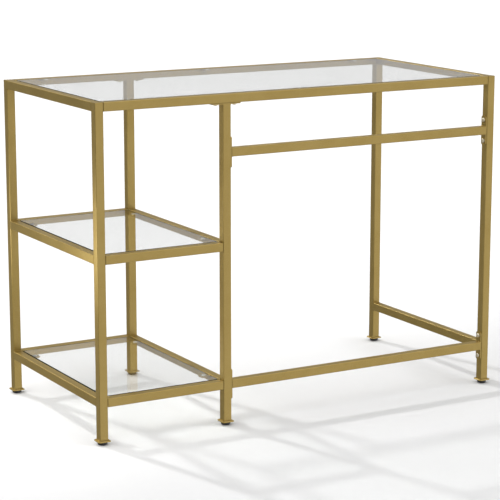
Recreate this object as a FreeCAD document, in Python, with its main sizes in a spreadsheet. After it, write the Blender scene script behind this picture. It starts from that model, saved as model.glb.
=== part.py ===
import FreeCAD, Part
import os
import re

import Sketcher

# A writing desk: a frame of square steel tube that holds three loose panes of clear glass.
# A shelf tower stands at one end, and the rest of the length is an open knee space.
#
# +X runs along the length, from the shelf tower ("left") to the knee space ("right").
# +Y runs from the side with the brace and the stretcher ("front") to the open side ("back").
# +Z is up, and the origin is on the floor, in the middle of the footprint. All sizes are mm.
#
# The left and right end frames and the middle frame are welded. The long rails slip over
# tongues on the legs and are held by set screws from below; the brace and the stretcher carry
# end plates that are bolted to the legs; the middle legs are bolted up into the long top rails.

SIZES = [
    # Overall, over the outer faces of the legs and up to the top of the frame
    ("FrameLength", 1057),
    ("FrameDepth", 505),
    ("FrameHeight", 762),
    ("TowerLength", 332),
    # Heights of the tops of the rails
    ("ShelfHeight", 427),
    ("LowRailHeight", 106),
    # From the top of the frame down to the top of the brace
    ("BraceDrop", 121),
    # Square tube
    ("TubeSide", 20),
    ("TubeWall", 1.2),
    ("TubeRound", 1.4),
    # Long rails on their tongues
    ("RailEndGap", 1.0),
    ("TongueLength", 30),
    ("TongueGap", 0.3),
    ("TongueScrewInset", 16),
    ("SetScrewLength", 16),
    ("SetScrewFlats", 3),
    ("SetScrewSocket", 3.5),
    # M6 button-head bolts and the threaded inserts they turn into
    ("BoltDiameter", 6),
    ("BoltLength", 12),
    ("BoltHeadDiameter", 10.5),
    ("BoltHeadHeight", 3.3),
    ("BoltHeadRound", 2.4),
    ("SocketFlats", 4),
    ("SocketDepth", 2.1),
    ("BoltHoleClearance", 0.6),
    ("ThreadClearance", 0.1),
    ("InsertWall", 1.45),
    ("InsertLength", 13),
    # End plates of the brace and the stretcher
    ("EndPlateBoltSpacing", 50),
    ("EndPlateMargin", 10),
    ("EndPlateInset", 1),
    ("EndPlateThick", 3),
    ("EndPlateRound", 5),
    # Plates on top of the middle legs
    ("TopPlateBoltSpacing", 48),
    ("TopPlateMargin", 12),
    ("TopPlateThick", 2.5),
    ("TopPlateRound", 4),
    # Feet: a plate and a weld nut on each leg, and a levelling glide on an M6 stud
    ("FootPlateOverhang", 5),
    ("FootPlateThick", 2.5),
    ("FootPlateRound", 4),
    ("FootPlateBevel", 0.8),
    ("FootPlateHoleClearance", 1),
    ("NutFlats", 10),
    ("NutHeight", 5),
    ("StudDiameter", 6),
    ("StudSpare", 14),
    ("StudBevel", 0.8),
    ("GlideDiameter", 22),
    ("GlideHeight", 8),
    ("GlideFloor", 3),
    ("GlideTread", 3.2),
    ("GlideShoulder", 1.6),
    # Glass panes, and the tabs and bumpers that carry them
    ("GlassThick", 5),
    ("GlassGap", 3),
    ("GlassSink", 0),
    ("GlassCorner", 3),
    ("GlassArris", 0.7),
    ("TabWidth", 24),
    ("TabReach", 22),
    ("TabThick", 2.5),
    ("TabRound", 5),
    ("TopTabInset", 75),
    ("ShelfTabInset", 55),
    ("BumperDiameter", 10),
    ("BumperThick", 1.5),
    ("BumperBevel", 0.4),
    ("BumperReach", 12),
]

# Centre lines and levels, as formulas on the sheet of sizes
LEFT = "(-FrameLength / 2 + TubeSide / 2)"
MIDDLE = "(-FrameLength / 2 + TowerLength - TubeSide / 2)"
RIGHT = "(FrameLength / 2 - TubeSide / 2)"
FRONT = "(-FrameDepth / 2 + TubeSide / 2)"
BACK = "(FrameDepth / 2 - TubeSide / 2)"
TOWER_CENTRE = "(-FrameLength / 2 + TowerLength / 2)"
KNEE_CENTRE = "((TowerLength - TubeSide) / 2)"

TOP_RAIL = "(FrameHeight - TubeSide / 2)"
SHELF_RAIL = "(ShelfHeight - TubeSide / 2)"
LOW_RAIL = "(LowRailHeight - TubeSide / 2)"
BRACE = "(FrameHeight - BraceDrop - TubeSide / 2)"
FOOT = "(GlideHeight + FootPlateThick)"
TOP_PLATE = "(FrameHeight - TubeSide - TopPlateThick)"
TAB_DROP = "(GlassSink + GlassThick + BumperThick)"

# Lengths that several pieces share
TUBE_INSIDE = "(TubeSide - 2 * TubeWall)"
END_LEG_LENGTH = f"(FrameHeight - {FOOT})"
MIDDLE_LEG_LENGTH = f"({TOP_PLATE} - {FOOT})"
SIDE_RAIL_LENGTH = "(FrameDepth - 2 * TubeSide)"
KNEE_LENGTH = "(FrameLength - TowerLength - TubeSide)"
BOLT_HOLE = "(BoltDiameter + BoltHoleClearance)"
THREAD_BORE = "(BoltDiameter + ThreadClearance)"
INSERT_DIAMETER = f"({THREAD_BORE} + 2 * InsertWall)"

LEG_ROWS = {"front": FRONT, "back": BACK}
LEG_COLUMNS = {"left": LEFT, "middle": MIDDLE, "right": RIGHT}
PLATE_BOLTS = ("(EndPlateBoltSpacing / 2)", "(-EndPlateBoltSpacing / 2)")
ENDS = (1, -1)

TURN_NONE = FreeCAD.Rotation()
TURN_HALF = FreeCAD.Rotation(FreeCAD.Vector(0, 0, 1), 180)
TURN_LEFT = FreeCAD.Rotation(FreeCAD.Vector(0, 0, 1), 90)
TURN_RIGHT = FreeCAD.Rotation(FreeCAD.Vector(0, 0, 1), -90)
HEAD_DOWN = FreeCAD.Rotation(FreeCAD.Vector(1, 0, 0), 180)
HEAD_RIGHT = FreeCAD.Rotation(FreeCAD.Vector(0, 1, 0), 90)
HEAD_LEFT = FreeCAD.Rotation(FreeCAD.Vector(0, 1, 0), -90)

doc = FreeCAD.newDocument("WritingDesk")
nodes = []


# ---------------------------------------------------------------- sheet and formulas

def make_sheet():
    sheet = doc.addObject("Spreadsheet::Sheet", "Sizes")
    for row, (alias, value) in enumerate(SIZES, start=1):
        sheet.set(f"A{row}", alias)
        sheet.set(f"B{row}", str(value))
        sheet.setAlias(f"B{row}", alias)
    doc.recompute()
    return sheet


def formula(text):
    """Names that start with a capital letter are aliases on the sheet."""
    return re.sub(r"\b([A-Z]\w*)", r"Sizes.\1", text)


def number(text):
    return float(sheet.evalExpression(formula(text)))


def bind(thing, name, text):
    thing.setExpression(name, formula(text))


def put(thing, place, turn=TURN_NONE, path="Placement"):
    setattr(thing, path, FreeCAD.Placement(FreeCAD.Vector(), turn))
    for letter, text in zip("xyz", place):
        bind(thing, f"{path}.Base.{letter}", text)


def node(thing, label):
    thing.Label = label
    nodes.append(thing)
    return thing


# ---------------------------------------------------------------- sketches

def new_body(label):
    body = doc.addObject("PartDesign::Body", label)
    body.Label = label
    return body


def new_sketch(body, plane, place):
    """An empty sketch, parallel to an origin plane and moved by place in its own axes."""
    sketch = body.newObject("Sketcher::SketchObject", "Sketch")
    planes = [feature for feature in body.Origin.OriginFeatures if feature.Role == plane]
    sketch.AttachmentSupport = [(planes[0], "")]
    sketch.MapMode = "FlatFace"
    put(sketch, place, path="AttachmentOffset")
    return sketch


def size_constraint(sketch, name, constraint, text):
    sketch.renameConstraint(sketch.addConstraint(constraint), name)
    bind(sketch, f"Constraints.{name}", text)


def add_rectangle(sketch, width, height, name=""):
    """A rectangle centred on the sketch's origin."""
    x = number(width) / 2
    y = number(height) / 2
    corners = [FreeCAD.Vector(-x, -y), FreeCAD.Vector(x, -y), FreeCAD.Vector(x, y), FreeCAD.Vector(-x, y)]
    lines = [sketch.addGeometry(Part.LineSegment(corners[i - 1], corners[i])) for i in range(4)]
    left, bottom, right, top = lines
    for i in range(4):
        sketch.addConstraint(Sketcher.Constraint("Coincident", lines[i - 1], 2, lines[i], 1))
    for line in (bottom, top):
        sketch.addConstraint(Sketcher.Constraint("Horizontal", line))
    for line in (left, right):
        sketch.addConstraint(Sketcher.Constraint("Vertical", line))
    sketch.addConstraint(Sketcher.Constraint("Symmetric", bottom, 1, top, 1, -1, 1))
    across = Sketcher.Constraint("DistanceX", bottom, 1, bottom, 2, 2 * x)
    size_constraint(sketch, f"Width{name}", across, width)
    up = Sketcher.Constraint("DistanceY", right, 1, right, 2, 2 * y)
    size_constraint(sketch, f"Height{name}", up, height)


def add_circle(sketch, diameter):
    radius = number(diameter) / 2
    circle = sketch.addGeometry(Part.Circle(FreeCAD.Vector(), FreeCAD.Vector(0, 0, 1), radius))
    sketch.addConstraint(Sketcher.Constraint("Coincident", circle, 3, -1, 1))
    size_constraint(sketch, "Diameter", Sketcher.Constraint("Diameter", circle, 2 * radius), diameter)


def add_hexagon(sketch, flats):
    """A regular hexagon about the sketch's origin, with two corners on the sketch's X axis."""
    half = number(flats) / 2
    guide = sketch.addGeometry(Part.Circle(FreeCAD.Vector(), FreeCAD.Vector(0, 0, 1), half), True)
    sketch.addConstraint(Sketcher.Constraint("Coincident", guide, 3, -1, 1))
    spoke = FreeCAD.Vector(half / 0.75 ** 0.5, 0, 0)
    corners = [FreeCAD.Rotation(FreeCAD.Vector(0, 0, 1), 60 * i).multVec(spoke) for i in range(6)]
    lines = [sketch.addGeometry(Part.LineSegment(corners[i - 1], corners[i])) for i in range(6)]
    for i in range(6):
        sketch.addConstraint(Sketcher.Constraint("Coincident", lines[i - 1], 2, lines[i], 1))
        sketch.addConstraint(Sketcher.Constraint("Tangent", lines[i], guide))
    for i in range(4):
        sketch.addConstraint(Sketcher.Constraint("Equal", lines[i], lines[i + 1]))
    sketch.addConstraint(Sketcher.Constraint("PointOnObject", lines[0], 2, -1))
    size_constraint(sketch, "Flats", Sketcher.Constraint("Diameter", guide, 2 * half), flats)


# ---------------------------------------------------------------- features

def pad(body, sketch, length, symmetric=False, upside_down=False):
    feature = body.newObject("PartDesign::Pad", "Pad")
    feature.Profile = sketch
    feature.SideType = "Symmetric" if symmetric else "One side"
    feature.Reversed = upside_down
    bind(feature, "Length", length)
    doc.recompute()
    return feature


def pocket(body, sketch, depth, forward=False):
    """Cuts against the sketch's normal, or along it if forward."""
    feature = body.newObject("PartDesign::Pocket", "Pocket")
    feature.Profile = sketch
    feature.Reversed = forward
    bind(feature, "Length", depth)
    doc.recompute()
    return feature


def drill(body, plane, place, diameter, depth, forward=False):
    sketch = new_sketch(body, plane, place)
    add_circle(sketch, diameter)
    pocket(body, sketch, depth, forward)


def edges_along(shape, direction):
    """Names of the straight edges along direction that lie furthest from the shape's middle."""
    centre = shape.BoundBox.Center
    reach = {}
    for number_of_edge, edge in enumerate(shape.Edges, start=1):
        run = edge.lastVertex().Point - edge.firstVertex().Point
        if run.cross(direction).Length > 1e-6 or run.Length < 1e-6:
            continue
        reach[f"Edge{number_of_edge}"] = (edge.CenterOfMass - centre).cross(direction).Length
    furthest = max(reach.values())
    return [name for name, distance in reach.items() if distance > furthest - 1e-6]


def edges_at(shape, height):
    """Names of the edges that lie flat at this height."""
    names = []
    for number_of_edge, edge in enumerate(shape.Edges, start=1):
        box = edge.BoundBox
        if abs(box.ZMin - height) < 1e-6 and abs(box.ZMax - height) < 1e-6:
            names.append(f"Edge{number_of_edge}")
    return names


def fillet(body, edge_names, radius):
    base = body.Tip
    feature = body.newObject("PartDesign::Fillet", "Fillet")
    feature.Base = (base, edge_names)
    bind(feature, "Radius", radius)
    doc.recompute()


def chamfer(body, edge_names, size):
    base = body.Tip
    feature = body.newObject("PartDesign::Chamfer", "Chamfer")
    feature.Base = (base, edge_names)
    bind(feature, "Size", size)
    doc.recompute()


def plate(label, plane, width, height, thick, corner):
    """A flat plate with rounded corners, centred on its body's origin."""
    body = new_body(label)
    sketch = new_sketch(body, plane, ("0", "0", "0"))
    add_rectangle(sketch, width, height)
    pad(body, sketch, thick, symmetric=True)
    normal = sketch.Placement.Rotation.multVec(FreeCAD.Vector(0, 0, 1))
    fillet(body, edges_along(body.Shape, normal), corner)
    return body


def group(label, master, places):
    """One node made of the same piece at several places, each a (place, turn) pair."""
    copies = []
    for place, turn in places:
        copy = doc.addObject("App::Link", f"{label}_copy")
        copy.LinkedObject = master
        put(copy, place, turn)
        copies.append(copy)
    compound = doc.addObject("Part::Compound", label)
    compound.Links = copies
    return node(compound, label)


# ---------------------------------------------------------------- tubes

def tube(label, plane, length, place, symmetric=True):
    """A square tube along the plane's normal, with its long outer edges rounded."""
    body = new_body(label)
    sketch = new_sketch(body, plane, ("0", "0", "0"))
    add_rectangle(sketch, "TubeSide", "TubeSide", "Outside")
    add_rectangle(sketch, TUBE_INSIDE, TUBE_INSIDE, "Inside")
    pad(body, sketch, length, symmetric)
    normal = sketch.Placement.Rotation.multVec(FreeCAD.Vector(0, 0, 1))
    fillet(body, edges_along(body.Shape, normal), "TubeRound")
    put(body, place)
    return node(body, label)


def end_leg(side, row):
    """A leg of an end frame: its top is closed by a plate ground flush."""
    place = (LEG_COLUMNS[side], LEG_ROWS[row], FOOT)
    leg = tube(f"{row}_{side}_leg", "XY_Plane", END_LEG_LENGTH, place, symmetric=False)
    sketch = new_sketch(leg, "XY_Plane", ("0", "0", END_LEG_LENGTH))
    add_rectangle(sketch, TUBE_INSIDE, TUBE_INSIDE)
    pad(leg, sketch, "TubeWall", upside_down=True)
    return leg


def middle_leg(row):
    place = (MIDDLE, LEG_ROWS[row], FOOT)
    return tube(f"{row}_middle_leg", "XY_Plane", MIDDLE_LEG_LENGTH, place, symmetric=False)


def make_legs():
    """The two front legs beside the knee space are drilled for the plates' inserts."""
    for row in LEG_ROWS:
        end_leg("left", row)
    drilled = {"middle": middle_leg("front"), "right": end_leg("right", "front")}
    middle_leg("back")
    end_leg("right", "back")
    for side, leg in drilled.items():
        for level in (BRACE, LOW_RAIL):
            for rise in PLATE_BOLTS:
                place = ("0", f"{level} + {rise} - {FOOT}", "0")
                drill(leg, "YZ_Plane", place, INSERT_DIAMETER, "TubeSide", forward=side == "middle")


def side_rail(label, column, level):
    tube(label, "XZ_Plane", SIDE_RAIL_LENGTH, (column, "0", level))


def make_side_rails():
    side_rail("left_top_rail", LEFT, TOP_RAIL)
    side_rail("left_shelf_rail", LEFT, SHELF_RAIL)
    side_rail("left_low_rail", LEFT, LOW_RAIL)
    side_rail("middle_shelf_rail", MIDDLE, SHELF_RAIL)
    side_rail("middle_low_rail", MIDDLE, LOW_RAIL)
    side_rail("right_top_rail", RIGHT, TOP_RAIL)
    side_rail("right_low_rail", RIGHT, LOW_RAIL)


def long_rail(label, span, centre, row, level):
    """A rail along X between the inner faces of two legs, drilled below for its set screws."""
    rail = tube(label, "YZ_Plane", f"({span} - 2 * RailEndGap)", (centre, row, level))
    for end in ENDS:
        place = (f"{end} * ({span} / 2 - TongueScrewInset)", "0", "0")
        drill(rail, "XY_Plane", place, BOLT_HOLE, "TubeSide")
    return rail


TOP_SPAN = "(FrameLength - 2 * TubeSide)"
TOWER_SPAN = "(TowerLength - 2 * TubeSide)"


def make_long_rails():
    for row, line in LEG_ROWS.items():
        top = long_rail(f"{row}_top_rail", TOP_SPAN, "0", line, TOP_RAIL)
        for end in ENDS:
            place = (f"{MIDDLE} + {end} * TopPlateBoltSpacing / 2", "0", "0")
            drill(top, "XY_Plane", place, INSERT_DIAMETER, "TubeSide")
        long_rail(f"{row}_shelf_rail", TOWER_SPAN, TOWER_CENTRE, line, SHELF_RAIL)
        long_rail(f"{row}_low_rail", TOWER_SPAN, TOWER_CENTRE, line, LOW_RAIL)


def make_braces():
    """The brace and the stretcher: a tube with a plate at each end, on the front side."""
    length = f"({KNEE_LENGTH} - 2 * EndPlateThick)"
    plate_width = "(TubeSide - 2 * EndPlateInset)"
    plate_height = "(EndPlateBoltSpacing + 2 * EndPlateMargin)"
    face = {"left": f"{MIDDLE} + (TubeSide + EndPlateThick) / 2",
            "right": f"{RIGHT} - (TubeSide + EndPlateThick) / 2"}
    for label, level in (("front_brace", BRACE), ("front_stretcher", LOW_RAIL)):
        tube(label, "YZ_Plane", length, (KNEE_CENTRE, FRONT, level))
        for side, x in face.items():
            name = f"{label}_{side}_plate"
            body = plate(name, "YZ_Plane", plate_width, plate_height, "EndPlateThick", "EndPlateRound")
            for rise in PLATE_BOLTS:
                drill(body, "YZ_Plane", ("0", rise, "EndPlateThick"), BOLT_HOLE, "2 * EndPlateThick")
            put(body, (x, FRONT, level))
            node(body, name)


def make_top_plates():
    length = "(TopPlateBoltSpacing + 2 * TopPlateMargin)"
    for row, line in LEG_ROWS.items():
        name = f"{row}_middle_leg_plate"
        body = plate(name, "XY_Plane", length, "TubeSide", "TopPlateThick", "TopPlateRound")
        for end in ENDS:
            place = (f"{end} * TopPlateBoltSpacing / 2", "0", "TopPlateThick")
            drill(body, "XY_Plane", place, BOLT_HOLE, "2 * TopPlateThick")
        put(body, (MIDDLE, line, f"{TOP_PLATE} + TopPlateThick / 2"))
        node(body, name)


# ---------------------------------------------------------------- tongues, screws, bolts and inserts

def tongue_master():
    """A solid block that points along +X from the leg and lies on the rail's lower wall."""
    block = doc.addObject("Part::Box", "TongueBlock")
    width = f"({TUBE_INSIDE} - 2 * TongueGap)"
    for name, text in (("Length", "TongueLength"), ("Width", width), ("Height", width)):
        bind(block, name, text)
    put(block, ("0", f"-{width} / 2", f"-{TUBE_INSIDE} / 2"))
    bore = doc.addObject("Part::Cylinder", "TongueBore")
    bind(bore, "Radius", f"{THREAD_BORE} / 2")
    bind(bore, "Height", "TubeSide")
    put(bore, ("TongueScrewInset", "0", "-TubeSide / 2"))
    tongue = doc.addObject("Part::Cut", "Tongue")
    tongue.Base = block
    tongue.Tool = bore
    return tongue


def set_screw_master():
    """A headless screw along Z, with its socket at the origin and its tip below."""
    body = new_body("SetScrew")
    shank = new_sketch(body, "XY_Plane", ("0", "0", "0"))
    add_circle(shank, "BoltDiameter")
    pad(body, shank, "SetScrewLength", upside_down=True)
    socket = new_sketch(body, "XY_Plane", ("0", "0", "0"))
    add_hexagon(socket, "SetScrewFlats")
    pocket(body, socket, "SetScrewSocket")
    return body


def bolt_master():
    """A button-head bolt along Z, with the seat of its head at the origin and its shank below."""
    body = new_body("ButtonBolt")
    head = new_sketch(body, "XY_Plane", ("0", "0", "0"))
    add_circle(head, "BoltHeadDiameter")
    pad(body, head, "BoltHeadHeight")
    fillet(body, edges_at(body.Shape, number("BoltHeadHeight")), "BoltHeadRound")
    shank = new_sketch(body, "XY_Plane", ("0", "0", "0"))
    add_circle(shank, "BoltDiameter")
    pad(body, shank, "BoltLength", upside_down=True)
    socket = new_sketch(body, "XY_Plane", ("0", "0", "BoltHeadHeight"))
    add_hexagon(socket, "SocketFlats")
    pocket(body, socket, "SocketDepth")
    return body


def insert_master():
    """A threaded insert along Z, with its mouth at the origin."""
    body = new_body("ThreadedInsert")
    sketch = new_sketch(body, "XY_Plane", ("0", "0", "0"))
    add_circle(sketch, INSERT_DIAMETER)
    pad(body, sketch, "InsertLength", upside_down=True)
    drill(body, "XY_Plane", ("0", "0", "0"), THREAD_BORE, "InsertLength")
    return body


def rail_joints():
    """Each end of each long rail: the leg's inner face, the side it faces, the row, the level."""
    spans = [(TOP_RAIL, LEFT, RIGHT), (SHELF_RAIL, LEFT, MIDDLE), (LOW_RAIL, LEFT, MIDDLE)]
    for level, start, end in spans:
        for line in LEG_ROWS.values():
            yield f"({start} + TubeSide / 2)", 1, line, level
            yield f"({end} - TubeSide / 2)", -1, line, level


def brace_joints():
    """Each bolt of an end plate: the leg's inner face, the side it faces, and its height."""
    for level in (BRACE, LOW_RAIL):
        for rise in PLATE_BOLTS:
            yield f"({MIDDLE} + TubeSide / 2)", 1, f"({level} + {rise})"
            yield f"({RIGHT} - TubeSide / 2)", -1, f"({level} + {rise})"


def top_plate_joints():
    for line in LEG_ROWS.values():
        for end in ENDS:
            yield f"({MIDDLE} + {end} * TopPlateBoltSpacing / 2)", line


def make_fixings():
    tongues = []
    screws = []
    for face, way, line, level in rail_joints():
        tongues.append(((face, line, level), TURN_NONE if way > 0 else TURN_HALF))
        socket_level = f"{level} + {TUBE_INSIDE} / 2 - SetScrewLength"
        screws.append(((f"{face} + {way} * TongueScrewInset", line, socket_level), HEAD_DOWN))
    plate_bolts = []
    inserts = []
    for face, way, height in brace_joints():
        turn = HEAD_RIGHT if way > 0 else HEAD_LEFT
        plate_bolts.append(((f"{face} + {way} * EndPlateThick", FRONT, height), turn))
        inserts.append(((face, FRONT, height), turn))
    leg_bolts = []
    for x, line in top_plate_joints():
        leg_bolts.append(((x, line, TOP_PLATE), HEAD_DOWN))
        inserts.append(((x, line, "(FrameHeight - TubeSide)"), HEAD_DOWN))
    bolt = bolt_master()
    group("rail_tongues", tongue_master(), tongues)
    group("tongue_screws", set_screw_master(), screws)
    group("end_plate_bolts", bolt, plate_bolts)
    group("middle_leg_bolts", bolt, leg_bolts)
    group("threaded_inserts", insert_master(), inserts)


# ---------------------------------------------------------------- feet

def foot_plate(name, x, y):
    side = "(TubeSide + 2 * FootPlateOverhang)"
    hole = "(StudDiameter + FootPlateHoleClearance)"
    body = plate(name, "XY_Plane", side, side, "FootPlateThick", "FootPlateRound")
    chamfer(body, edges_at(body.Shape, number("FootPlateThick / 2")), "FootPlateBevel")
    drill(body, "XY_Plane", ("0", "0", "FootPlateThick"), hole, "2 * FootPlateThick")
    put(body, (x, y, "GlideHeight + FootPlateThick / 2"))
    node(body, name)


def nut_master():
    body = new_body("WeldNut")
    sketch = new_sketch(body, "XY_Plane", ("0", "0", "0"))
    add_hexagon(sketch, "NutFlats")
    pad(body, sketch, "NutHeight")
    drill(body, "XY_Plane", ("0", "0", "NutHeight"), "StudDiameter + ThreadClearance", "NutHeight")
    return body


def glide(name, x, y):
    """The moulded foot, with a blind socket in which the stud is bonded."""
    body = new_body(name)
    sketch = new_sketch(body, "XY_Plane", ("0", "0", "0"))
    add_circle(sketch, "GlideDiameter")
    pad(body, sketch, "GlideHeight")
    fillet(body, edges_at(body.Shape, 0), "GlideTread")
    fillet(body, edges_at(body.Shape, number("GlideHeight")), "GlideShoulder")
    drill(body, "XY_Plane", ("0", "0", "GlideHeight"), "StudDiameter", "GlideHeight - GlideFloor")
    put(body, (x, y, "0"))
    node(body, name)


def stud(name, x, y):
    """A stud bonded in the glide; StudSpare of it stands above the weld nut."""
    body = new_body(name)
    sketch = new_sketch(body, "XY_Plane", ("0", "0", "0"))
    add_circle(sketch, "StudDiameter")
    height = "(GlideHeight - GlideFloor + FootPlateThick + NutHeight + StudSpare)"
    pad(body, sketch, height)
    chamfer(body, edges_at(body.Shape, number(height)), "StudBevel")
    put(body, (x, y, "GlideFloor"))
    node(body, name)


def make_feet():
    for row, y in LEG_ROWS.items():
        for side, x in LEG_COLUMNS.items():
            foot_plate(f"{row}_{side}_foot_plate", x, y)
            glide(f"{row}_{side}_glide", x, y)
            stud(f"{row}_{side}_glide_stud", x, y)
    corners = [((x, y, FOOT), TURN_NONE) for x in LEG_COLUMNS.values() for y in LEG_ROWS.values()]
    group("foot_nuts", nut_master(), corners)


# ---------------------------------------------------------------- glass

def pane(label, span, centre, top):
    body = plate(label, "XY_Plane", f"({span} - 2 * GlassGap)",
                 f"({SIDE_RAIL_LENGTH} - 2 * GlassGap)", "GlassThick", "GlassCorner")
    half = number("GlassThick / 2")
    chamfer(body, edges_at(body.Shape, half) + edges_at(body.Shape, -half), "GlassArris")
    put(body, (centre, "0", f"{top} - GlassSink - GlassThick / 2"))
    node(body, label)


def tab_master():
    """A tab welded to a rail's inner face at y = 0, reaching along +Y, with its top at z = 0."""
    body = new_body("GlassTab")
    sketch = new_sketch(body, "XY_Plane", ("0", "TabReach / 2", "0"))
    add_rectangle(sketch, "TabWidth", "TabReach")
    pad(body, sketch, "TabThick", upside_down=True)
    upright = edges_along(body.Shape, FreeCAD.Vector(0, 0, 1))
    free = [name for name in upright if body.Shape.getElement(name).CenterOfMass.y > 1e-6]
    fillet(body, free, "TabRound")
    return body


def bumper_master():
    body = new_body("Bumper")
    sketch = new_sketch(body, "XY_Plane", ("0", "0", "0"))
    add_circle(sketch, "BumperDiameter")
    pad(body, sketch, "BumperThick")
    chamfer(body, edges_at(body.Shape, number("BumperThick")), "BumperBevel")
    return body


def top_supports():
    """Three tabs on each long top rail, as (rail face, bumper centre, turn)."""
    inset = "(FrameLength / 2 - TubeSide - TopTabInset)"
    for way, turn in ((1, TURN_NONE), (-1, TURN_HALF)):
        face = f"({-way} * (FrameDepth / 2 - TubeSide))"
        for x in (f"-{inset}", "0", inset):
            level = f"FrameHeight - {TAB_DROP}"
            yield (x, face, level), (x, f"{face} + {way} * BumperReach", level), turn


def shelf_supports():
    """Two tabs on each side rail of both shelves, as (rail face, bumper centre, turn)."""
    sides = ((f"({LEFT} + TubeSide / 2)", 1, TURN_RIGHT), (f"({MIDDLE} - TubeSide / 2)", -1, TURN_LEFT))
    for top in ("ShelfHeight", "LowRailHeight"):
        level = f"{top} - {TAB_DROP}"
        for face, way, turn in sides:
            for end in ENDS:
                y = f"({end} * (FrameDepth / 2 - TubeSide - ShelfTabInset))"
                yield (face, y, level), (f"{face} + {way} * BumperReach", y, level), turn


def make_glass():
    pane("top_glass", TOP_SPAN, "0", "FrameHeight")
    pane("shelf_glass", TOWER_SPAN, TOWER_CENTRE, "ShelfHeight")
    pane("low_shelf_glass", TOWER_SPAN, TOWER_CENTRE, "LowRailHeight")
    tab = tab_master()
    bumper = bumper_master()
    for label, supports in (("top", list(top_supports())), ("shelf", list(shelf_supports()))):
        group(f"{label}_glass_tabs", tab, [(face, turn) for face, centre, turn in supports])
        group(f"{label}_glass_bumpers", bumper, [(centre, turn) for face, centre, turn in supports])


# ---------------------------------------------------------------- checks and files

def check_features():
    """Every feature is sound, and every cut takes something away."""
    for thing in doc.Objects:
        if {"Invalid", "Error"} & set(thing.State):
            raise RuntimeError(f"{thing.Label} is {thing.State}")
        if thing.TypeId == "PartDesign::Pocket":
            if thing.Shape.Volume > thing.BaseFeature.Shape.Volume - 0.01:
                raise RuntimeError(f"{thing.Label} of {thing.getParent().Label} cuts nothing")


def check_nodes():
    labels = [thing.Label for thing in nodes]
    if len(labels) != len(set(labels)):
        raise RuntimeError("two sub-parts share a name")
    for thing in nodes:
        if thing.Shape.isNull() or not thing.Shape.isValid() or not thing.Shape.Solids:
            raise RuntimeError(f"{thing.Label} has no sound solid")


def write_files():
    os.makedirs("parts", exist_ok=True)
    for thing in nodes:
        thing.Shape.exportStep(f"parts/{thing.Label}.step")
        print(f"{thing.Label}: {len(thing.Shape.Solids)} solid(s), {thing.Shape.Volume / 1000:.1f} cm3")


sheet = make_sheet()
make_legs()
make_side_rails()
make_long_rails()
make_braces()
make_top_plates()
make_fixings()
make_feet()
make_glass()
doc.recompute()
check_features()
check_nodes()
write_files()
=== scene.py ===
"""Looks for a gold metal writing desk with three clear glass panes.

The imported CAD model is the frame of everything: its nodes keep their meshes and get their finishes here.
Weld beads and screw threads are grown around it with geometry nodes. All sizes are in metres.
"""

import math

import bmesh
import bpy
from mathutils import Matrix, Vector


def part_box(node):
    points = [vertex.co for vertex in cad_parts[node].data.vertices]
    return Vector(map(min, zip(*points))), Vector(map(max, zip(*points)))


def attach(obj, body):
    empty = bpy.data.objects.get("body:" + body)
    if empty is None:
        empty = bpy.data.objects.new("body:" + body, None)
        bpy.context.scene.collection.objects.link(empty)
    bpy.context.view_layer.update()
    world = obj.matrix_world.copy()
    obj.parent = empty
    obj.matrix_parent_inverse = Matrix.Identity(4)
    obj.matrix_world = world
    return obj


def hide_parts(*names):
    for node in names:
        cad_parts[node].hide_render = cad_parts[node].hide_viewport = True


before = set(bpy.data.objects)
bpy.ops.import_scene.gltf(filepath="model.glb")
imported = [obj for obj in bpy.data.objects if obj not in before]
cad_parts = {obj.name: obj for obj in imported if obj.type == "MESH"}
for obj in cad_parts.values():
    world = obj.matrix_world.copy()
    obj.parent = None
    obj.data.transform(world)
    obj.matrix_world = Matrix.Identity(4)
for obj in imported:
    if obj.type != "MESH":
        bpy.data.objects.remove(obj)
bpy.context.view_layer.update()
MM = 0.001


# ---------------------------------------------------------------- node trees written as sums


class Wire:
    """One output socket. Sums on wires add Math nodes, and add() makes any other node."""

    def __init__(self, tree, socket=None):
        self.tree, self.socket = tree, socket

    def add(self, kind, settings=None, sockets=None, out=0):
        """A new node: its settings come first, then the values or wires of its sockets."""
        node = self.tree.nodes.new(kind)
        for name, value in (settings or {}).items():
            if name == "stops":
                set_stops(node.color_ramp, value)
            else:
                setattr(node, name, value)
        for name, value in (sockets or {}).items():
            if isinstance(value, Wire):
                self.tree.links.new(value.socket, node.inputs[name])
            else:
                node.inputs[name].default_value = value
        return Wire(self.tree, node.outputs[out])

    def math(self, operation, *values):
        return self.add("ShaderNodeMath", {"operation": operation}, dict(enumerate(values)))

    def __add__(self, other):
        return self.math("ADD", self, other)

    def __radd__(self, other):
        return self.math("ADD", other, self)

    def __sub__(self, other):
        return self.math("SUBTRACT", self, other)

    def __rsub__(self, other):
        return self.math("SUBTRACT", other, self)

    def __mul__(self, other):
        return self.math("MULTIPLY", self, other)

    def __rmul__(self, other):
        return self.math("MULTIPLY", other, self)

    def between(self, low, high):
        """0 below low, 1 above high, and a smooth step from one to the other."""
        return self.add(
            "ShaderNodeMapRange",
            {"interpolation_type": "SMOOTHSTEP"},
            {"Value": self, "From Min": low, "From Max": high},
        )

    def blend(self, first, second):
        """The first colour where this wire is 0 and the second where it is 1."""
        return self.add("ShaderNodeMix", {"data_type": "RGBA"}, {0: self, 6: first, 7: second}, out=2)


def set_stops(ramp, stops):
    while len(ramp.elements) < len(stops):
        ramp.elements.new(1.0)
    for element, (place, colour) in zip(ramp.elements, stops):
        element.position, element.color = place, colour


def colour(red, green, blue):
    return (red, green, blue, 1.0)


# ---------------------------------------------------------------- camera, light and floor

CAMERA_PLACE = (-2.2364, -3.9178, 1.2698)
CAMERA_TURN = 29.674  # degrees from straight at the long side, towards the knee space
CAMERA_DIP = 11.597  # degrees below level
CAMERA_LENS, CAMERA_SENSOR = 136.97, 36.0  # millimetres

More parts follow.
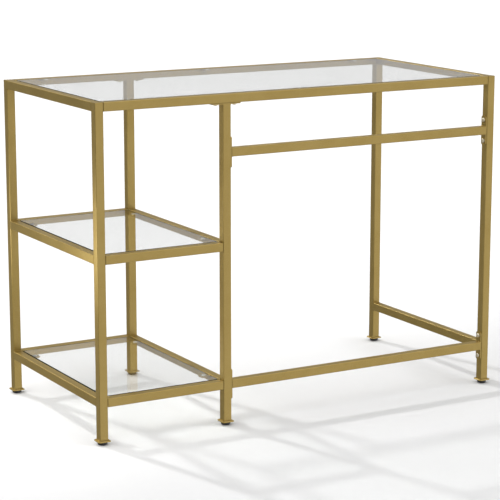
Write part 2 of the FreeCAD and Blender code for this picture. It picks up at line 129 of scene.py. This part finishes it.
KEY_FROM = (-0.29, 1.09, 1.0)  # behind the desk, a little towards the shelf tower
KEY_SPREAD = 3.0  # degrees, which sets how soft the shadows are
KEY_STRENGTH = 1.1

SIDE_PLACE = (-0.92, 0.06, 0.34)  # beside the shelf tower, facing it
SIDE_WIDTH, SIDE_HEIGHT = 0.6, 0.2
SIDE_POWER = 2.0

FLOOR_HALF = 30.0
FLOOR_SHADE_FADE = (-0.35, 0.94, 0.0)  # the way in which the floor's painted shade fades from pale grey to white

# The room's own light: its even level, what the ceiling adds, and what each wall or box adds
ROOM_LEVEL = 0.60
CEILING = 0.42
DARKEST = 0.05  # where dim walls overlap
WALLS = (
    # direction, added light, the cosines between which it fades in
    ((0.46, -0.22, 0.86), 1.1, (0.88, 0.96)),  # soft box overhead
    ((0.62, -0.78, -0.2), 0.52, (0.5, 0.98)),  # bright wall at the front right
    ((0.485, 0.851, 0.25), -0.15, (0.90, 0.98)),  # slightly dim wall behind the desk
    ((-0.495, 0.869, -0.2), -0.22, (0.82, 0.95)),  # dim wall behind the tower
    ((-0.85, -0.49, -0.2), -0.52, (0.80, 0.96)),  # black card beside the camera
    ((0.2, 0.1, -0.97), -0.50, (0.72, 0.92)),  # the shade underneath
)


def aim_camera():
    data = bpy.data.cameras.new("camera")
    data.lens, data.sensor_width = CAMERA_LENS, CAMERA_SENSOR
    data.clip_start, data.clip_end = 0.05, 100.0
    camera = bpy.data.objects.new("camera", data)
    camera.location = CAMERA_PLACE
    camera.rotation_euler = (math.radians(90 - CAMERA_DIP), 0, -math.radians(CAMERA_TURN))
    bpy.context.scene.collection.objects.link(camera)
    bpy.context.scene.camera = camera


def hang_key_light():
    data = bpy.data.lights.new("key_light", "SUN")
    data.energy, data.angle = KEY_STRENGTH, math.radians(KEY_SPREAD)
    light = bpy.data.objects.new("key_light", data)
    light.rotation_euler = Vector(KEY_FROM).to_track_quat("Z", "Y").to_euler()
    bpy.context.scene.collection.objects.link(light)


def hang_side_light():
    """A softbox beside the shelf tower, which brightens the outer faces of that end."""
    data = bpy.data.lights.new("side_light", "AREA")
    data.shape, data.size, data.size_y = "RECTANGLE", SIDE_WIDTH, SIDE_HEIGHT
    data.energy = SIDE_POWER
    light = bpy.data.objects.new("side_light", data)
    light.location = SIDE_PLACE
    light.rotation_euler = Vector((-1.0, 0.0, 0.0)).to_track_quat("Z", "Y").to_euler()
    light.visible_camera = light.visible_transmission = False
    bpy.context.scene.collection.objects.link(light)


def light_studio():
    """A white room with a soft box overhead, and walls that are brighter or dimmer than it."""
    world = bpy.data.worlds.new("studio")
    bpy.context.scene.world = world
    world.use_nodes = True
    world.node_tree.nodes.clear()
    start = Wire(world.node_tree)
    ray = start.add("ShaderNodeTexCoord", out="Generated")
    height = start.add("ShaderNodeSeparateXYZ", None, {0: ray}, out="Z")

    def towards(direction, low, high):
        middle = Vector(direction).normalized()
        dot = start.add(
            "ShaderNodeVectorMath", {"operation": "DOT_PRODUCT"}, {0: ray, 1: tuple(middle)}, out="Value"
        )
        return dot.between(low, high)

    room = ROOM_LEVEL + CEILING * height.between(0.2, 0.9)
    for direction, level, spread in WALLS:
        room = room + level * towards(direction, *spread)
    room = start.math("MAXIMUM", room, DARKEST)
    lit = start.add("ShaderNodeBackground", None, {"Color": colour(1, 1, 1), "Strength": room})
    seen = start.add("ShaderNodeBackground", None, {"Color": colour(1, 1, 1), "Strength": 1.0})
    straight = start.add("ShaderNodeLightPath", out="Is Camera Ray")
    both = start.add("ShaderNodeMixShader", None, {0: straight, 1: lit, 2: seen})
    out = start.tree.nodes.new("ShaderNodeOutputWorld")
    start.tree.links.new(both.socket, out.inputs["Surface"])


def lay_floor(finish):
    mesh = bpy.data.meshes.new("floor")
    h = FLOOR_HALF
    mesh.from_pydata([(-h, -h, 0), (h, -h, 0), (h, h, 0), (-h, h, 0)], [], [(0, 1, 2, 3)])
    mesh.materials.append(finish)
    floor = bpy.data.objects.new("floor", mesh)
    floor.visible_glossy = False  # the metal mirrors the room's walls below the horizon too
    bpy.context.scene.collection.objects.link(floor)


# ---------------------------------------------------------------- finishes

GLASS_IOR = 1.5
LOW_GLARE = 0.14  # the share of a pane's mirror that its surface treatment takes away


def new_finish(name):
    material = bpy.data.materials.new(name)
    material.use_nodes = True
    material.node_tree.nodes.clear()
    return material, Wire(material.node_tree)


def show(material, surface):
    out = material.node_tree.nodes.new("ShaderNodeOutputMaterial")
    material.node_tree.links.new(surface.socket, out.inputs["Surface"])
    return material


def noise(start, place, scale, detail=3.0, roughness=0.5):
    return start.add(
        "ShaderNodeTexNoise",
        None,
        {"Vector": place, "Scale": scale, "Detail": detail, "Roughness": roughness},
    )


def bumped(start, height, depth, strength=1.0):
    return start.add("ShaderNodeBump", None, {"Height": height, "Distance": depth, "Strength": strength})


def satin_gold():
    """Gold powder coat: a fine orange-peel skin with slow drifts of tone and sheen."""
    material, start = new_finish("satin_gold")
    place = start.add("ShaderNodeTexCoord", out="Object")
    skin = noise(start, place, 900.0, 2.0)
    grain = noise(start, place, 3200.0, 1.0)
    drift = noise(start, place, 14.0, 4.0, 0.6)
    tone = drift.between(0.3, 0.7).blend(colour(0.310, 0.212, 0.054), colour(0.350, 0.245, 0.070))
    flecked = grain.between(0.45, 0.75).blend(tone, colour(0.44, 0.33, 0.12))
    sheen = 0.30 + 0.10 * drift + 0.05 * skin
    surface = start.add(
        "ShaderNodeBsdfPrincipled",
        None,
        {
            "Base Color": flecked,
            "Metallic": 0.85,
            "Roughness": sheen,
            "Specular Tint": colour(0.90, 0.80, 0.55),
            "Coat Weight": 0.25,
            "Coat Roughness": 0.22,
            "Normal": bumped(start, skin + 0.4 * grain, 0.00006, 0.6),
        },
    )
    return show(material, surface)


def polished_plate():
    """Pale, bright plating on the bolt heads, with a faint haze of handling."""
    material, start = new_finish("polished_plate")
    place = start.add("ShaderNodeTexCoord", out="Object")
    haze = noise(start, place, 700.0, 4.0, 0.6)
    tone = haze.between(0.3, 0.75).blend(colour(0.92, 0.86, 0.70), colour(0.80, 0.71, 0.52))
    surface = start.add(
        "ShaderNodeBsdfPrincipled",
        None,
        {
            "Base Color": tone,
            "Metallic": 1.0,
            "Roughness": 0.26 + 0.14 * haze,
            "Normal": bumped(start, haze, 0.00002, 0.5),
        },
    )
    return show(material, surface)


def bright_zinc():
    """Zinc on the studs, nuts and inserts: a cool grey with small crystals."""
    material, start = new_finish("bright_zinc")
    place = start.add("ShaderNodeTexCoord", out="Object")
    crystal = start.add("ShaderNodeTexVoronoi", None, {"Vector": place, "Scale": 900.0}, out="Color")
    level = start.add("ShaderNodeSeparateColor", None, {0: crystal}, out="Red")
    tone = level.blend(colour(0.50, 0.52, 0.53), colour(0.64, 0.65, 0.63))
    surface = start.add(
        "ShaderNodeBsdfPrincipled",
        None,
        {
            "Base Color": tone,
            "Metallic": 1.0,
            "Roughness": 0.24 + 0.14 * level,
            "Normal": bumped(start, level, 0.00002, 0.4),
        },
    )
    return show(material, surface)


def clear_glass():
    """Tempered float glass: clear low-glare faces, and dark green ground edges painted near black, partly
    as painted shade for the gap beside the rails.
    """
    material, start = new_finish("clear_glass")
    place = start.add("ShaderNodeTexCoord", out="Object")
    facing = start.add("ShaderNodeNewGeometry", out="Normal")
    upright = start.math("ABSOLUTE", start.add("ShaderNodeSeparateXYZ", None, {0: facing}, out="Z"))
    # Mask of the panes' upright edge faces, which take the painted-shade edge colour below
    edge = 1 - upright.between(0.3, 0.95)
    wiped = noise(start, place, 9.0, 5.0, 0.65).between(0.45, 0.8)
    grinding = noise(start, place, 2600.0, 2.0)
    clear = start.add(
        "ShaderNodeBsdfPrincipled",
        None,
        {
            "Base Color": wiped.blend(colour(0.986, 0.992, 0.986), colour(0.974, 0.984, 0.976)),
            "Roughness": 0.004 + 0.012 * wiped,
            "IOR": GLASS_IOR,
            "Transmission Weight": 1.0,
        },
    )
    # Painted shade: the ground edges are coloured near black, darker than the glass's own green, to stand
    # in for the shade in the narrow gap between pane and rail
    ground = start.add(
        "ShaderNodeBsdfPrincipled",
        None,
        {
            "Base Color": grinding.blend(colour(0.004, 0.007, 0.005), colour(0.012, 0.019, 0.015)),
            "Roughness": 0.35 + 0.2 * grinding,
            "Specular IOR Level": 0.15,
            "Normal": bumped(start, grinding, 0.00003, 0.5),
        },
    )
    unmirrored = start.add(
        "ShaderNodeBsdfRefraction",
        None,
        {"Color": colour(0.984, 0.99, 0.984), "Roughness": 0.0, "IOR": GLASS_IOR},
    )
    treated = start.add("ShaderNodeMixShader", None, {0: LOW_GLARE, 1: clear, 2: unmirrored})
    lit_through = start.add("ShaderNodeBsdfTransparent", None, {"Color": colour(0.925, 0.935, 0.925)})
    lamp = start.add("ShaderNodeLightPath", out="Is Shadow Ray")
    face = start.add("ShaderNodeMixShader", None, {0: lamp, 1: treated, 2: lit_through})
    return show(material, start.add("ShaderNodeMixShader", None, {0: edge, 1: face, 2: ground}))


def clear_vinyl():
    """The soft dots that the glass sits on: clear, a little milky."""
    material, start = new_finish("clear_vinyl")
    place = start.add("ShaderNodeTexCoord", out="Object")
    milk = noise(start, place, 500.0, 3.0)
    tone = milk.between(0.3, 0.7).blend(colour(0.97, 0.98, 0.96), colour(0.90, 0.92, 0.90))
    surface = start.add(
        "ShaderNodeBsdfPrincipled",
        None,
        {
            "Base Color": tone,
            "Roughness": 0.14 + 0.12 * milk,
            "IOR": 1.46,
            "Transmission Weight": 0.10,
            "Normal": bumped(start, milk, 0.00003, 0.3),
        },
    )
    return show(material, surface)


def black_nylon():
    """Moulded black nylon on the glides, with a fine matt grain and paler scuffs low down."""
    material, start = new_finish("black_nylon")
    place = start.add("ShaderNodeTexCoord", out="Object")
    grain = noise(start, place, 2400.0, 2.0)
    scuffs = noise(start, place, 260.0, 5.0, 0.7).between(0.58, 0.72)
    tone = scuffs.blend(colour(0.010, 0.010, 0.011), colour(0.028, 0.027, 0.026))
    surface = start.add(
        "ShaderNodeBsdfPrincipled",
        None,
        {
            "Base Color": tone,
            "Roughness": 0.34 + 0.14 * grain + 0.12 * scuffs,
            "Normal": bumped(start, grain, 0.00005, 0.5),
        },
    )
    return show(material, surface)


def studio_white():
    """The floor: plain matt white with the faintest fibre, painted a little greyer in front of the desk as
    painted shade, and fading to white away from it.
    """
    material, start = new_finish("studio_white")
    place = start.add("ShaderNodeTexCoord", out="Object")
    fibre = noise(start, place, 40.0, 3.0)
    # Painted shade: the floor's grey near and in front of the desk stands in for dimmer light there, and
    # blends to white further away
    paper_in_painted_shade = fibre.blend(colour(0.695, 0.695, 0.70), colour(0.715, 0.715, 0.715))
    away = start.add(
        "ShaderNodeVectorMath", {"operation": "DOT_PRODUCT"}, {0: place, 1: FLOOR_SHADE_FADE}, out="Value"
    )
    tone = away.between(-0.5, 0.4).blend(paper_in_painted_shade, colour(0.90, 0.90, 0.90))
    surface = start.add(
        "ShaderNodeBsdfPrincipled",
        None,
        {"Base Color": tone, "Roughness": 0.9, "Specular IOR Level": 0.1},
    )
    return show(material, surface)


FINISHES = {
    "gold_frame": satin_gold(),
    "plated_bolt": polished_plate(),
    "zinc_steel": bright_zinc(),
    "clear_glass": clear_glass(),
    "clear_vinyl": clear_vinyl(),
    "black_nylon": black_nylon(),
}


def finish_cad_nodes():
    """Each CAD node's slots carry the record's slot names, which are the keys of FINISHES."""
    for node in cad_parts.values():
        for place in node.material_slots:
            place.material = FINISHES[place.material.name.split(".")[0]]


# ---------------------------------------------------------------- trees that grow the small parts

BEAD = 1.2 * MM  # the radius of a weld bead
BEAD_PITCH = 1.3 * MM
SINK = 0.25 * BEAD  # how far a bead's middle stands out of the corner
THREAD_PITCH = 1.0 * MM
THREAD_DEPTH = 0.55 * MM
RIDGE = 0.42  # half the width of a thread's foot, in pitches


def new_tree(name, sizes):
    """An empty geometry tree with a mesh input and named numbers, each with its default."""
    tree = bpy.data.node_groups.new(name, "GeometryNodeTree")
    tree.interface.new_socket("Geometry", in_out="INPUT", socket_type="NodeSocketGeometry")
    for label, value in sizes.items():
        kind = "NodeSocketInt" if isinstance(value, int) else "NodeSocketFloat"
        tree.interface.new_socket(label, in_out="INPUT", socket_type=kind).default_value = value
    tree.interface.new_socket("Geometry", in_out="OUTPUT", socket_type="NodeSocketGeometry")
    given = tree.nodes.new("NodeGroupInput")
    return tree, {label: Wire(tree, given.outputs[label]) for label in ["Geometry", *sizes]}


def end_tree(tree, grown, finish):
    """The last nodes of every tree: real meshes with their finish set."""
    real = grown.add("GeometryNodeRealizeInstances", None, {0: grown})
    painted = grown.add("GeometryNodeSetMaterial", None, {"Geometry": real, "Material": finish})
    out = tree.nodes.new("NodeGroupOutput")
    tree.links.new(painted.socket, out.inputs[0])
    return tree


def weld_bead_tree():
    """Overlapping drops of weld along each edge of the given mesh."""
    tree, given = new_tree("weld_bead", {"Bead Radius": BEAD, "Ripple Pitch": BEAD_PITCH})
    start = Wire(tree)
    radius = given["Bead Radius"]
    seams = start.add("GeometryNodeMeshToCurve", None, {0: given["Geometry"]})
    steps = start.add(
        "GeometryNodeResampleCurve", {"mode": "LENGTH"}, {"Curve": seams, "Length": given["Ripple Pitch"]}
    )
    drop = start.add("GeometryNodeMeshUVSphere", None, {"Segments": 8, "Rings": 5, "Radius": radius})
    smooth = start.add("GeometryNodeSetShadeSmooth", None, {0: drop})
    along = start.add("GeometryNodeInputTangent")
    turn = start.add("FunctionNodeAlignRotationToVector", {"axis": "Z"}, {"Vector": along})
    wobble = start.add(
        "FunctionNodeRandomValue", {"data_type": "FLOAT"}, {2: 0.86, 3: 1.0, "Seed": 7}, out=1
    )
    drops = start.add(
        "GeometryNodeInstanceOnPoints",
        None,
        {"Points": steps, "Instance": smooth, "Rotation": turn, "Scale": wobble},
    )
    return end_tree(tree, drops, FINISHES["gold_frame"])


def threaded_rod_tree():
    """A screw thread wound on a core, both standing on the given point."""
    tree, given = new_tree(
        "threaded_rod",
        {
            "Diameter": 6.0 * MM,
            "Pitch": THREAD_PITCH,
            "Thread Depth": THREAD_DEPTH,
            "Length": 20 * MM,
        },
    )
    start = Wire(tree)
    core_radius = given["Diameter"] * 0.5 - given["Thread Depth"]
    turns = start.math("DIVIDE", given["Length"] - given["Pitch"], given["Pitch"])
    helix = start.add(
        "GeometryNodeCurveSpiral",
        None,
        {
            "Resolution": 24,
            "Rotations": turns,
            "Start Radius": core_radius,
            "End Radius": core_radius,
            "Height": given["Length"] - given["Pitch"],
        },
    )
    helix = start.add("GeometryNodeSetCurveNormal", {"mode": "Z_UP"}, {0: helix})
    ridge = start.add("GeometryNodeCurvePrimitiveCircle", None, {"Resolution": 4, "Radius": 1.0})
    width = given["Pitch"] * RIDGE
    ridge = start.add(
        "GeometryNodeTransform",
        None,
        {
            "Geometry": ridge,
            "Scale": start.add(
                "ShaderNodeCombineXYZ", None, {"X": given["Thread Depth"], "Y": width, "Z": 1.0}
            ),
        },
    )
    thread = start.add(
        "GeometryNodeCurveToMesh",
        None,
        {"Curve": helix, "Profile Curve": ridge, "Fill Caps": True},
    )
    first_turn = start.add("ShaderNodeCombineXYZ", None, {"Z": given["Pitch"] * 0.5})
    thread = start.add(
        "GeometryNodeTransform", None, {"Geometry": thread, "Translation": first_turn}
    )
    core = start.add(
        "GeometryNodeMeshCylinder",
        None,
        {"Vertices": 32, "Radius": core_radius, "Depth": given["Length"]},
    )
    middle = start.add("ShaderNodeCombineXYZ", None, {"Z": given["Length"] * 0.5})
    core = start.add("GeometryNodeTransform", None, {"Geometry": core, "Translation": middle})
    joined = tree.nodes.new("GeometryNodeJoinGeometry")
    for part in (thread, core):
        tree.links.new(part.socket, joined.inputs[0])
    rods = start.add(
        "GeometryNodeInstanceOnPoints",
        None,
        {"Points": given["Geometry"], "Instance": Wire(tree, joined.outputs[0])},
    )
    return end_tree(tree, rods, FINISHES["zinc_steel"])


def grow(name, tree, mesh, sizes, body):
    """Runs a tree on a mesh and keeps the result as a plain mesh that rides on one body."""
    piece = bpy.data.objects.new(name, mesh)
    bpy.context.scene.collection.objects.link(piece)
    modifier = piece.modifiers.new("grow", "NODES")
    modifier.node_group = tree
    keys = {item.name: item.identifier for item in tree.interface.items_tree if item.in_out == "INPUT"}
    for label, value in sizes.items():
        modifier[keys[label]] = value
    now = bpy.context.evaluated_depsgraph_get()
    grown = bpy.data.meshes.new_from_object(piece.evaluated_get(now), depsgraph=now)
    piece.modifiers.remove(modifier)
    piece.data = grown
    bpy.data.meshes.remove(mesh)
    grown.name = name
    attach(piece, body)
    return piece


def lines_mesh(name, lines):
    """A mesh of edges from lists of points."""
    mesh = bpy.data.meshes.new(name)
    points, edges = [], []
    for line in lines:
        first = len(points)
        points += line
        edges += [(first + i, first + i + 1) for i in range(len(line) - 1)]
    mesh.from_pydata(points, edges, [])
    return mesh


# ---------------------------------------------------------------- where the welds run

ROUND = 1.4 * MM  # the tube's own corner
TAB_CORNER = 1.5 * MM  # what a tab's seam leaves free at each end
TOUCHING = 0.5 * MM  # a tab this near to a rail is welded to it
SAME_POINT = 0.01 * MM


def side_rail_seams(rail, top, bottom):
    """The inside corners across the rail, where its top or underside meets the legs."""
    low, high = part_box(rail)
    x0, x1 = low.x + ROUND, high.x - ROUND
    heights = ([high.z + SINK] if top else []) + ([low.z - SINK] if bottom else [])
    ends = (low.y + SINK, high.y - SINK)
    return [[(x0, y, z), (x1, y, z)] for z in heights for y in ends]


def ring(a0, a1, b0, b1, point):
    """A loop round a square tube, kept off its rounded corners."""
    r = ROUND
    near, right = [(a0 + r, b0), (a1 - r, b0)], [(a1, b0 + r), (a1, b1 - r)]
    far, left = [(a1 - r, b1), (a0 + r, b1)], [(a0, b1 - r), (a0, b0 + r)]
    return [point(a, b) for a, b in near + right + far + left + near[:1]]


def leg_ring(leg, z):
    low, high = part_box(leg)
    s = SINK
    return ring(low.x - s, high.x + s, low.y - s, high.y + s, lambda x, y: (x, y, z))


def tube_end_ring(rail, x):
    low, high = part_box(rail)
    return ring(low.y + ROUND, high.y - ROUND, low.z - SINK, high.z + SINK, lambda y, z: (x, y, z))


def solids(node):
    """The box of each separate solid in a group node."""
    work = bmesh.new()
    work.from_mesh(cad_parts[node].data)
    bmesh.ops.remove_doubles(work, verts=work.verts, dist=SAME_POINT)
    left, boxes = set(work.verts), []
    while left:
        found, todo = [], [left.pop()]
        while todo:
            point = todo.pop()
            found.append(point.co.copy())
            for edge in point.link_edges:
                other = edge.other_vert(point)
                if other in left:
                    left.remove(other)
                    todo.append(other)
        boxes.append(tuple(Vector([end(p[i] for p in found) for i in range(3)]) for end in (min, max)))
    work.free()
    return sorted(boxes, key=lambda box: tuple(round(v, 4) for v in box[0]))


def tab_seam(low, high):
    """The corner under a tab, along the rail that it is welded to."""
    inset, z = TAB_CORNER, low.z - SINK
    legs = [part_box(f"front_{side}_leg") for side in ("left", "middle", "right")]
    front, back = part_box("front_top_rail")[1].y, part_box("back_top_rail")[0].y
    for y, away in ((front, 1), (back, -1)):
        if min(abs(low.y - y), abs(high.y - y)) < TOUCHING:
            return [(low.x + inset, y + away * SINK, z), (high.x - inset, y + away * SINK, z)]
    for x, away in ((legs[0][1].x, 1), (legs[1][0].x, -1)):
        if min(abs(low.x - x), abs(high.x - x)) < TOUCHING:
            return [(x + away * SINK, low.y + inset, z), (x + away * SINK, high.y - inset, z)]
    raise ValueError("a tab touches no rail")


ROWS, SIDES = ("front", "back"), ("left", "middle", "right")


def weld_all():
    bead = weld_bead_tree()
    sizes = {"Bead Radius": BEAD, "Ripple Pitch": BEAD_PITCH}
    lower = ("left_shelf_rail", "left_low_rail", "middle_shelf_rail", "middle_low_rail", "right_low_rail")
    rails = []
    for rail in lower:
        rails += side_rail_seams(rail, top=True, bottom=True)
    for rail in ("left_top_rail", "right_top_rail"):
        rails += side_rail_seams(rail, top=False, bottom=True)
    grow("side_rail_welds", bead, lines_mesh("seams", rails), sizes, "frame")

    feet = [
        leg_ring(f"{row}_{side}_leg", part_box(f"{row}_{side}_foot_plate")[1].z + SINK)
        for row in ROWS
        for side in SIDES
    ]
    grow("foot_plate_welds", bead, lines_mesh("seams", feet), sizes, "frame")

    ends = []
    for rail in ("front_brace", "front_stretcher"):
        ends += [tube_end_ring(rail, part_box(rail + "_left_plate")[1].x + SINK)]
        ends += [tube_end_ring(rail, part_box(rail + "_right_plate")[0].x - SINK)]
    grow("end_plate_welds", bead, lines_mesh("seams", ends), sizes, "frame")

    caps = []
    for row in ROWS:
        low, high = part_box(f"{row}_middle_leg")
        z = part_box(f"{row}_middle_leg_plate")[0].z - SINK
        y0, y1 = low.y + ROUND, high.y - ROUND
        caps += [[(x, y0, z), (x, y1, z)] for x in (low.x - SINK, high.x + SINK)]
    grow("middle_leg_welds", bead, lines_mesh("seams", caps), sizes, "frame")

    for name in ("top_glass_tabs", "shelf_glass_tabs"):
        seams = [tab_seam(low, high) for low, high in solids(name)]
        grow(name[:-1] + "_welds", bead, lines_mesh("seams", seams), sizes, "frame")


def thread_all():
    rod = threaded_rod_tree()
    for row in ROWS:
        for side in SIDES:
            node = f"{row}_{side}_glide_stud"
            low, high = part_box(node)
            mesh = bpy.data.meshes.new("foot")
            mesh.from_pydata([((low.x + high.x) / 2, (low.y + high.y) / 2, low.z)], [], [])
            sizes = {
                "Diameter": high.x - low.x,
                "Pitch": THREAD_PITCH,
                "Thread Depth": THREAD_DEPTH,
                "Length": high.z - low.z,
            }
            piece = grow(f"{row}_{side}_stud_thread", rod, mesh, sizes, f"{row}_{side}_glide")
            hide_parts(node)


aim_camera()
light_studio()
hang_key_light()
hang_side_light()
lay_floor(studio_white())
bpy.context.scene.view_settings.view_transform = "Standard"

finish_cad_nodes()
weld_all()
thread_all()
